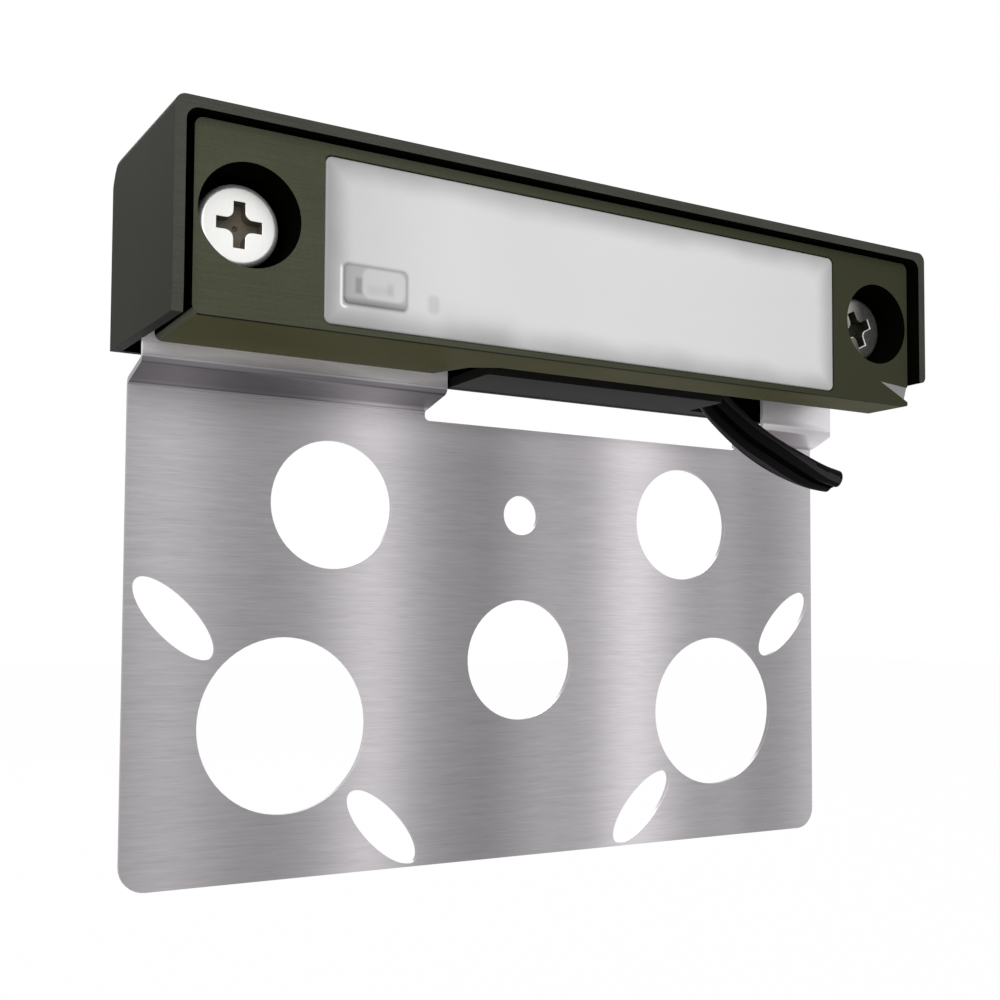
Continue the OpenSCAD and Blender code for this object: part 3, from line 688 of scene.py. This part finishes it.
def brushed_steel(name, share):
    finish = Finish(name, Anisotropic=0.5)
    along = finish.along("X")
    height = finish.along("Z")
    on_fold = finish.rise(height, FOLD_FOOT, FOLD_FOOT + FOOT_SOFT)
    on_tab = finish.rise(height, TAB_FOOT, TAB_FOOT + FOOT_SOFT)
    up_tab = finish.rise(height, TAB_FOOT, module_low.z)
    right = finish.rise(along, *RIGHT_TAB_X)
    fold_end = finish.rise(along, *FOLD_END_X) * (1 - right)
    # Painted shade on the fold, deepest at its left end and lighter under the right tab.
    fold = (FOLD_RIGHT_LIFT * right - FOLD_DROP - FOLD_END_DROP * fold_end) * on_fold
    # Painted light below the hood.
    under_hood = finish.rise(height, *UNDER_HOOD_Z) * finish.rise(along, *UNDER_HOOD_X) * (1 - on_fold)
    under_hood = under_hood * (1 - UNDER_HOOD_RIGHT_SHARE * right)
    # Painted light on the tabs, brightest towards the module's underside.
    tab = (TAB_LIFT * on_tab + TAB_TOP_LIFT * up_tab) * (1 - TAB_RIGHT_SHARE * right)
    share = share + (1 - share) * right
    level = reflection_level(finish, along) * (share * (1 + fold + UNDER_HOOD_LIFT * under_hood + tab))
    lines = finish.noise(BRUSH_LINES, detail=3, roughness=0.65)
    streaks = finish.noise(BRUSH_STREAKS)
    wear = 1 + LINE_WEAR * (lines - 0.5) + STREAK_WEAR * (streaks - 0.5)
    finish.set("Base Color", finish.tinted_grey((level * wear).least(1), STEEL_TINT))
    finish.set("Metallic", 1 - TAB_DULLNESS * on_tab)
    finish.set("Roughness", STEEL_ROUGHNESS + 0.2 * (lines - 0.5))
    return finish.set("Normal", finish.bump(lines, STEEL_BUMP))


steel_finish = brushed_steel("plate_steel", PLATE_SHARE)
bend_shade_finish = brushed_steel("plate_steel_bend_shade", BEND_SHARE)
print("Brushed steel is ready")

# %% [markdown]
# ## What shows through the lens
# One component and a small spot behind the lens show as soft grey shapes. A clear lens could let the
# real parts through, but frosted plastic scatters so much light that the picture would stay noisy.
# So the lens is solid to the renderer, and the shadows of the parts are drawn in it as soft boxes.

# %% Soft boxes and lines
def beyond(x, z, box, corner):
    """The distance outside a box with round corners, in metres; below 0 inside it."""
    (left, right), (low, high) = box
    out_x = (x - (left + right) / 2 * MM).size() - ((right - left) / 2 - corner) * MM
    out_z = (z - (low + high) / 2 * MM).size() - ((high - low) / 2 - corner) * MM
    round_x, round_z = out_x.most(0), out_z.most(0)
    outside = (round_x * round_x + round_z * round_z).math("SQRT")
    return outside + out_x.most(out_z).least(0) - corner * MM


def soft_box(finish, x, z, box, soft, corner=0):
    """1 inside a box, 0 outside it, with a soft edge."""
    return 1 - finish.rise(beyond(x, z, box, corner), -soft, soft)


def soft_line(finish, x, z, box, width, corner=0):
    """1 on a box's outline, 0 a line's width away from it."""
    return 1 - finish.rise(beyond(x, z, box, corner).size(), 0, width)


print("Soft boxes and lines are ready")

# %% Shadows in the lens
CASE = ((-32.45, -25.35), (18.4, 22.55))
CASE_TOP = ((-30.4, -25.6), (19.2, 22.3))
CASE_FOOT = ((-32.4, -25.6), (18.3, 19))
CASE_LEFT_MARK = ((-31.16, -30.45), (19.6, 21.2))
CASE_MIDDLE_MARK = ((-29.8, -27), (19.7, 20.6))
CASE_RIGHT_MARK = ((-27.6, -26.9), (19.9, 21.1))
SPOT = ((-22.95, -21.65), (18.6, 20.5))
SPOT_SIDE = ((-21, -13), (15, 19))
RIM_OUTLINE = ((-32.7, -20), (18.05, 30))
RIM_LEFT = ((-33.2, -32.1), (17.6, 22.2))
RIM_SHINE = 0.4
LENS_SHADES = [
    (soft_box, 0.2, CASE, 0.15, 0.6),
    (soft_line, 0.14, CASE, 0.35, 0.6),
    (soft_box, 0.14, CASE_FOOT, 0.3, 0),
    (soft_box, -0.15, CASE_TOP, 0.25, 0.9),
    (soft_box, 0.14, CASE_LEFT_MARK, 0.2, 0),
    (soft_box, 0.06, CASE_MIDDLE_MARK, 0.4, 0),
    (soft_box, 0.07, CASE_RIGHT_MARK, 0.25, 0),
    (soft_box, 0.12, SPOT, 0.3, 0.5),
    (soft_box, 0.09, SPOT_SIDE, 1.8, 0),
]


def seen_through(finish, x, z):
    """How much the parts behind the lens darken it as painted shadow, less a painted highlight on the left
    of their outline.
    """
    shade = 0
    for form, strength, box, soft, corner in LENS_SHADES:
        shade = shade + strength * form(finish, x, z, box, soft, corner)
    rim = soft_line(finish, x, z, RIM_OUTLINE, 0.24, 0.4) * soft_box(finish, x, z, RIM_LEFT, 0.3)
    return shade - RIM_SHINE * rim


print("Shadows in the lens:", len(LENS_SHADES))

# %% [markdown]
# ## The frosted lens
# The lens is milky and soft. Its colour is painted brighter in its middle and darker towards its rim,
# as painted shade. A second layer could carry that fall-off, but a formula is simpler: the distance
# to the rim, made uneven by slow noise. The left side is painted darker and the right a little lighter.

# %% Frosted lens
lens_low, lens_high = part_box("lens")
LENS_MIDDLE = (lens_low + lens_high) / 2
LENS_HALF = (lens_high - lens_low) / 2
LENS_WAVES = (130, 130, 160)
LENS_CLOUDS = (45, 45, 110)
WAVE_DEPTH = 1.6
EDGE_WIDTH = 3.2
LEFT_SIDE_X = (-36, -18)
RIGHT_SIDE_X = (-12, 4)
LENS_LEVEL = 0.468
PAINTED_GLOW_LIFT = 0.285
CLOUD_LIFT = 0.05
LEFT_DROP = 0.14
RIGHT_LIFT = 0.03
LENS_ROUGHNESS = 0.38
LENS_BUMP = 0.05


def frosted():
    finish = Finish("lens_frosted", IOR=1.45, Specular_IOR_Level=0.3)
    x = finish.along("X")
    z = finish.along("Z")
    across = LENS_HALF.x - (x - LENS_MIDDLE.x).size()
    down = LENS_HALF.z - (z - LENS_MIDDLE.z).size()
    inside = across.least(down) + (finish.noise(LENS_WAVES) - 0.5) * (WAVE_DEPTH * MM)
    # Painted light in the middle, painted shade towards the rim.
    painted_glow = finish.rise(inside, -0.3, EDGE_WIDTH)
    clouds = finish.noise(LENS_CLOUDS, detail=3)
    # Painted shade on the left side, painted light on the right.
    left_side = 1 - finish.rise(x, *LEFT_SIDE_X)
    right_side = finish.rise(x, *RIGHT_SIDE_X)
    level = LENS_LEVEL + PAINTED_GLOW_LIFT * painted_glow + CLOUD_LIFT * (clouds - 0.5) - LEFT_DROP * left_side
    level = level + RIGHT_LIFT * right_side * painted_glow - seen_through(finish, x, z)
    finish.set("Base Color", finish.grey(level))
    finish.set("Roughness", LENS_ROUGHNESS + 0.1 * (clouds - 0.5))
    return finish.set("Normal", finish.bump(clouds, LENS_BUMP))


lens_finish = frosted()
print("Frosted lens is ready")

# %% [markdown]
# ## Recipes for moulded and metal parts
# The other surfaces are cord jacket, rubber, moulded epoxy and bright screws. Each could have its own
# nodes, but they differ only in colour, grain and shine. So most share two recipes: one for moulded
# stuff and one for plain metal.

# %% Moulded and metal recipes
METAL_MARKS = (2200, 2200, 2200)
MARKS_BUMP = 0.003


def matte(finish, shine):
    finish.shader.inputs["Specular IOR Level"].default_value = shine
    return finish


def moulded(name, colour, roughness=0.5, grain=5000, depth=0.004, spread=0.18):
    finish = Finish(name)
    speck = finish.noise((grain, grain, grain))
    darker = tuple(c * (1 - spread) for c in colour)
    lighter = tuple(min(1, c * (1 + spread)) for c in colour)
    finish.set("Base Color", finish.tint(speck, darker, lighter))
    finish.set("Roughness", roughness + 0.15 * (speck - 0.5))
    return finish.set("Normal", finish.bump(speck, depth))


def plain_metal(name, colour, roughness, metallic=1.0):
    finish = Finish(name, Metallic=metallic)
    marks = finish.noise(METAL_MARKS, detail=3)
    darker = tuple(c * 0.92 for c in colour)
    lighter = tuple(min(1, c * 1.05) for c in colour)
    finish.set("Base Color", finish.tint(marks, darker, lighter))
    finish.set("Roughness", roughness + 0.12 * (marks - 0.5))
    return finish.set("Normal", finish.bump(marks, MARKS_BUMP))


jacket_finish = matte(moulded("cord_jacket", (0.0075, 0.0068, 0.0075), 0.5, grain=3000, depth=0.01), 0.02)
# Painted shade in the groove between the cores.
groove_shade_finish = matte(moulded("cord_groove_shade", (0.002, 0.0018, 0.002), 0.6), 0.0)
# Painted highlight on the upper side of each core.
cord_highlight_finish = matte(moulded("cord_highlight", (0.034, 0.031, 0.034), 0.4, grain=3000, depth=0.01), 0.06)
boot_finish = moulded("boot_rubber", (0.012, 0.012, 0.012), 0.55)
screw_finish = plain_metal("screw_steel", (1.0, 1.0, 0.95), 0.34, metallic=0.7)
recess_finish = moulded("screw_recess", (0.13, 0.11, 0.075), 0.5, grain=3000, spread=0.4)
dark_recess = moulded("screw_recess_shaded", (0.03, 0.029, 0.019), 0.5, grain=3000, spread=0.4)
dark_recess_finish = matte(dark_recess, 0.1)
small_screw_finish = plain_metal("small_screw_steel", (0.6, 0.6, 0.6), 0.35)
print("Moulded and metal finishes are ready")

# %% [markdown]
# ## Finishes for parts on the board
# Chips and resistors have tinned ends, and each LED is a white package with a drop of yellow
# phosphor. The ends could be faces of their own, but the CAD nodes keep their meshes. So the finish
# itself changes, at a distance from the part's middle.

# %% Finishes for parts on the board
TINNED = (0.62, 0.62, 0.6)
CAP_SOFT = 0.04
LED_PITCH = 9
PACKAGE_WHITE = (0.8, 0.79, 0.74)
PHOSPHOR_YELLOW = (0.85, 0.6, 0.12)
PHOSPHOR_R = 0.95
PHOSPHOR_SOFT = 0.08


def capped(node, name, body, axis, cap):
    """A moulded body whose two ends along an axis are tinned for the length of the cap."""
    low, high = [corner["XYZ".index(axis)] for corner in corners(node)]
    half = (high - low) / 2 - cap
    finish = Finish(name)
    marks = finish.noise((5000, 5000, 5000), detail=3)
    away = (finish.along(axis) - (low + high) / 2 * MM).size()
    metal = finish.rise(away, half - CAP_SOFT, half)
    finish.set("Base Color", finish.tint(metal, body, TINNED))
    finish.set("Metallic", metal)
    finish.set("Roughness", 0.4 + 0.14 * (marks - 0.5))
    return finish.set("Normal", finish.bump(marks, MARKS_BUMP))


def led_face():
    """White packages in a row, each with a round drop of yellow phosphor."""
    low, high = corners("leds")
    finish = Finish("led_phosphor")
    marks = finish.noise((4000, 4000, 4000), detail=3)
    half_pitch = LED_PITCH / 2 * MM
    along = half_pitch - finish.along("X").math("PINGPONG", half_pitch)
    up = finish.along("Z") - (low.z + high.z) / 2 * MM
    away = (along * along + up * up) / (MM * MM)
    drop = 1 - finish.step(away, (PHOSPHOR_R - PHOSPHOR_SOFT) ** 2, PHOSPHOR_R ** 2)
    finish.set("Base Color", finish.tint(drop, PACKAGE_WHITE, PHOSPHOR_YELLOW))
    finish.set("Roughness", 0.35 + 0.12 * (marks - 0.5))
    return finish.set("Normal", finish.bump(marks, MARKS_BUMP))


print("Finishes for the board's parts are ready")

# %% Dressing the CAD nodes
CAD_FINISHES = {
    "lens_gasket": moulded("gasket_clear", (0.7, 0.7, 0.68), 0.5),
    "led_board": moulded("board_white", (0.82, 0.82, 0.8), 0.4, spread=0.03),
    "thermal_pad": moulded("pad_blue", (0.33, 0.45, 0.56), 0.7),
    "lead_positive": moulded("lead_red", (0.42, 0.03, 0.03), 0.4),
    "lead_negative": moulded("lead_black", (0.02, 0.02, 0.02), 0.4),
    "solder_joints": plain_metal("solder", (0.6, 0.61, 0.62), 0.28),
    "potting": moulded("potting_black", (0.02, 0.02, 0.022), 0.2, grain=600),
    "cover_gasket": moulded("gasket_grey", (0.12, 0.12, 0.12), 0.6),
    "driver_chip": capped("driver_chip", "chip_black", (0.03, 0.03, 0.033), "X", 0.8),
    "sense_resistors": capped("sense_resistors", "resistor_black", (0.04, 0.04, 0.045), "Z", 0.3),
    "capacitors": capped("capacitors", "capacitor_tan", (0.36, 0.25, 0.13), "Z", 0.45),
    "inductor": moulded("inductor_grey", (0.07, 0.07, 0.075), 0.6),
    "bridge_rectifier": capped("bridge_rectifier", "rectifier_black", (0.035, 0.035, 0.04), "X", 0.8),
    "leds": led_face(),
    "screw_washers": matte(moulded("washer_black", (0.006, 0.006, 0.005), 0.6), 0.05),
}
for node, finish in CAD_FINISHES.items():
    dress(node, finish)
print("Dressed", len(CAD_FINISHES), "CAD nodes")

# %% [markdown]
# ## The hood
# The hood is a thin casting, open at the front, with a tongue below. Its inside is black in the
# photo. The inside could be left to the lamps, but light leaks past the module and turns it grey. So
# tests on a face's place and direction pick the inside, the tongue, the end walls and the feet, and
# each area takes its own finish: the inside and the feet a near-black painted shade, the tongue and
# the end walls copies of the coat painted darker as shade.

# %% The hood
hood_low, hood_high = corners("housing")
HOOD_EDGE = 0.22
HOOD_WALL = 1.1
INNER_WALL = 0.9 * HOOD_WALL
RIM_DEPTH = 0.3
ROOF_FRONT_Z = 35.9
ROOF_RISE = 1.4
TONGUE_TOP = 17.3
FOOT_TOP = 22
WAIST_Z = 25
END_FOOT_Z = 18.5
END_FOOT_ROUNDING = 0.75


def inside_hood(p, normal):
    """The hollow of the hood, without the outer rounding of its top."""
    roof = ROOF_FRONT_Z - INNER_WALL + (p.y - hood_low.y) * ROOF_RISE / (hood_high.y - hood_low.y)
    between_ends = abs(p.x) < hood_high.x - INNER_WALL
    behind_rim = hood_low.y + RIM_DEPTH < p.y < hood_high.y - HOOD_WALL
    outer_top = normal.z > 0.05 and p.z > WAIST_Z
    return between_ends and TONGUE_TOP < p.z < roof and behind_rim and not outer_top


def on_tongue(p, normal):
    return p.z < TONGUE_TOP and abs(p.x) < hood_high.x - HOOD_WALL and p.y < hood_high.y


def on_end_wall(p, normal):
    return abs(normal.x) > 0.75 and abs(p.x) > hood_high.x - RIM_DEPTH


def on_foot(p, normal):
    """The lower faces of the two end walls, which take the near-black painted shade."""
    return normal.z < -0.5 and abs(p.x) > hood_high.x - HOOD_WALL - 0.1 and p.z < FOOT_TOP


def cord_side_end(edge):
    """The lower edge of the right end wall's outer face."""
    middle = middle_of(edge)
    return middle.x > hood_high.x - 0.05 and abs(middle.z - END_FOOT_Z) < 0.2


softened("housing", "hood", "hood_coat", HOOD_EDGE, hood_finish, painted_shade_finish, shaded_tongue_finish, shaded_end_finish,
         painted_shade_finish, areas=[inside_hood, on_tongue, on_end_wall, on_foot],
         wide=[(cord_side_end, END_FOOT_ROUNDING)])

# %% [markdown]
# ## The module
# The module is milled: crisp edges, two deep counterbores for the clamp screws, and a small notch at
# its right end that shows bare metal. Deep holes look black because little light finds its way out.
# Lamps show that only in part, so the counterbores' walls take the near-black painted shade of the
# hood's inside, as do the module's hidden ends and top and its front's lower edge. The rounded edges
# of the counterbores take a painted highlight.

# %% The module
screw_low, screw_high = corners("clamp_screw_right")
SCREW_X = round((screw_low.x + screw_high.x) / 2, 1)
SCREW_Z = round((screw_low.z + screw_high.z) / 2, 1)
MODULE_EDGE = 0.14
COUNTERBORE_R = 5.2
ROUNDED_DEPTH = 0.3
SIDE_STRIP = 0.4
NEAR = 0.05
NOTCH_X = 43.2
NOTCH_TOP = 18.3
NOTCH_BACK_Y = -19
LOW_FRONT_ROUNDING = 0.24


def from_screw(p):
    """The distance to the nearer clamp screw's axis."""
    return math.hypot(abs(p.x) - SCREW_X, p.z - SCREW_Z)


def in_shade(p, normal):
    """The counterbores, the hidden ends and top, and the front's lower edge, which take painted shade."""
    counterbore = from_screw(p) < COUNTERBORE_R + NEAR and p.y > module_low.y + ROUNDED_DEPTH
    end = abs(normal.x) > 0.9 and abs(p.x) > module_high.x - NEAR
    top = normal.z > 0.9 and p.z > module_high.z - SIDE_STRIP
    low_edge = normal.y < -0.2 and normal.z < -0.2 and p.z < module_low.z + SIDE_STRIP
    return counterbore or end or top or low_edge


def in_notch(p, normal):
    ahead = module_low.y + 0.02 < p.y < NOTCH_BACK_Y
    return p.x > NOTCH_X and p.z < NOTCH_TOP and ahead and abs(normal.z) < 0.9


def underneath(p, normal):
    return normal.z < -0.9 and p.z < module_low.z + 0.1


# The counterbores' rounded edges, which take a painted highlight.
def at_counterbore_edge(p, normal):
    on_rounding = module_low.y + 0.005 < p.y < module_low.y + ROUNDED_DEPTH
    return abs(from_screw(p) - COUNTERBORE_R) < 0.2 and on_rounding


def low_front(edge):
    """The long edge between the module's face and its underside."""
    middle = middle_of(edge)
    return middle.z < module_low.z + NEAR and middle.y < module_low.y + NEAR


softened("module_body", "module", "module_coat", MODULE_EDGE, module_finish, painted_shade_finish, bare_finish,
         under_finish, edge_highlight_finish, areas=[in_shade, in_notch, underneath, at_counterbore_edge],
         wide=[(low_front, LOW_FRONT_ROUNDING)])

# %% [markdown]
# ## The plate, the lens, the cover and the boot
# Each has the edges of its trade: sheared sheet is nearly sharp, a moulded lens and boot are round,
# and a cover is a little broken at its edges. One width for all would be simpler, but then the sheet
# would look soft and the boot hard. The bends of the plate take a copy of the steel painted darker as
# shade.

# %% The plate, the lens, the cover and the boot
PLATE_EDGE = 0.05
LENS_EDGE = 0.25
COVER_EDGE = 0.12
BOOT_EDGE = 0.2
BEND_Z = (11.6, 14.2)


def on_bend(p, normal):
    """The two bends of the fold, where their faces turn to the ground."""
    return -0.9995 < normal.y < -0.3 and normal.z < -0.01 and BEND_Z[0] < p.z < BEND_Z[1]


softened("mounting_plate", "plate", "plate_steel", PLATE_EDGE, steel_finish, bend_shade_finish, segments=1,
         areas=[on_bend])
softened("lens", "frosted_lens", "lens_frosted", LENS_EDGE, lens_finish, segments=3)
softened("back_cover", "module_cover", "cover_coat", COVER_EDGE, cover_finish)
softened("cable_boot", "cord_boot", "boot_rubber", BOOT_EDGE, boot_finish)

# %% [markdown]
# ## The cord as a piece
# The cut end shows the jacket and two copper conductors. They could be small cylinders, but a flat
# cut has no depth to show. So a finish draws two round spots on the end face. The photo shows no
# reflection of the cord on the steel, so the cord is left out of reflections.

# %% The cord as a piece
CONDUCTOR_R = 0.45
CUT_JACKET = (0.017, 0.016, 0.017)
COPPER = (0.72, 0.36, 0.2)


def cut_end():
    """The jacket's finish with the two copper conductors that the cut shows."""
    finish = Finish("cord_cut_end", Roughness=0.45)
    place = finish.place()
    middles = [cord_frame(ring_count - 1) @ Vector((side * CORE_OFFSET, 0, 0)) for side in (-1, 1)]
    apart = {"operation": "DISTANCE"}
    away = [finish.node("ShaderNodeVectorMath", apart, [place, middle], "Value") for middle in middles]
    copper = 1 - finish.rise(away[0].least(away[1]), CONDUCTOR_R - 0.05, CONDUCTOR_R)
    finish.set("Base Color", finish.tint(copper, CUT_JACKET, COPPER))
    return finish.set("Metallic", copper)


cord = finished(cord_bm, "twin_cord", "cord_jacket", jacket_finish, cut_end(), groove_shade_finish, cord_highlight_finish,
                replaces=["cord"])
cord.visible_glossy = False

# %% [markdown]
# ## The screws
# Two bright cross-head screws hold the module in the hood. Their heads are rolled smooth and their
# crosses are a darker brown. The right screw lies in its counterbore's shade. One finish could serve
# both, but the lamps here don't draw that shade as the photo has it. So the right screw takes a darker
# steel as painted shade, painted bright only on its left and upper side, and the walls of its cross
# that face left take the bright steel as a painted highlight.

# %% The screws
SCREW_EDGE = 0.06
SHADED_SCREW_EDGE = 0.2
CROSS_REACH = 2.5
CROSS_DEPTH = 2.5
CROSS_RIM_DEPTH = 0.45
CROSS_RIM_LEFT = 1.6
CROSS_RIM_TOP = 1.1
SHADE_X = (SCREW_X - 3.6, SCREW_X + 1.2)
SHADE_Z = (SCREW_Z - 1.5, SCREW_Z + 3)
SHADED_TINT = (1, 0.98, 0.92)
SHADED_MARKS = (1500, 1500, 1500)
SHADED_BUMP = 0.02
SHADED_LEVEL = 0.07
LIT_LEVEL = 0.3
UPPER_LIFT = 0.6


def in_cross(p, normal):
    return from_screw(p) < CROSS_REACH and screw_low.y + 0.08 < p.y < screw_low.y + CROSS_DEPTH


def in_cross_rim(p, normal):
    """The cross's walls near the head's face that catch light from the left."""
    lit = p.z < SCREW_Z + CROSS_RIM_TOP and p.x > SCREW_X - CROSS_RIM_LEFT and normal.x < 0.2
    near_face = screw_low.y + 0.01 < p.y < screw_low.y + CROSS_RIM_DEPTH
    return lit and from_screw(p) < CROSS_REACH + 0.1 and near_face


def shaded_steel():
    """The steel of the right screw's head in painted shade, painted bright only towards the upper left."""
    finish = Finish("screw_steel_shaded", Metallic=0.3, Roughness=0.42)
    marks = finish.noise(SHADED_MARKS, detail=3)
    bright = 1 - finish.rise(finish.along("X"), *SHADE_X)
    upper = finish.rise(finish.along("Z"), *SHADE_Z)
    level = SHADED_LEVEL + (LIT_LEVEL + UPPER_LIFT * upper) * bright + 0.1 * (marks - 0.5)
    finish.set("Base Color", finish.tinted_grey(level, SHADED_TINT))
    return finish.set("Normal", finish.bump(marks, SHADED_BUMP))


softened("clamp_screw_left", "cross_screw_left", "screw_steel", SCREW_EDGE, screw_finish, recess_finish,
         areas=[in_cross])
softened("clamp_screw_right", "cross_screw_right", "screw_steel", SHADED_SCREW_EDGE, shaded_steel(),
         dark_recess_finish, screw_finish, areas=[in_cross, in_cross_rim])
softened("back_cover_screws", "cover_screws", "small_screw_steel", SCREW_EDGE, small_screw_finish)
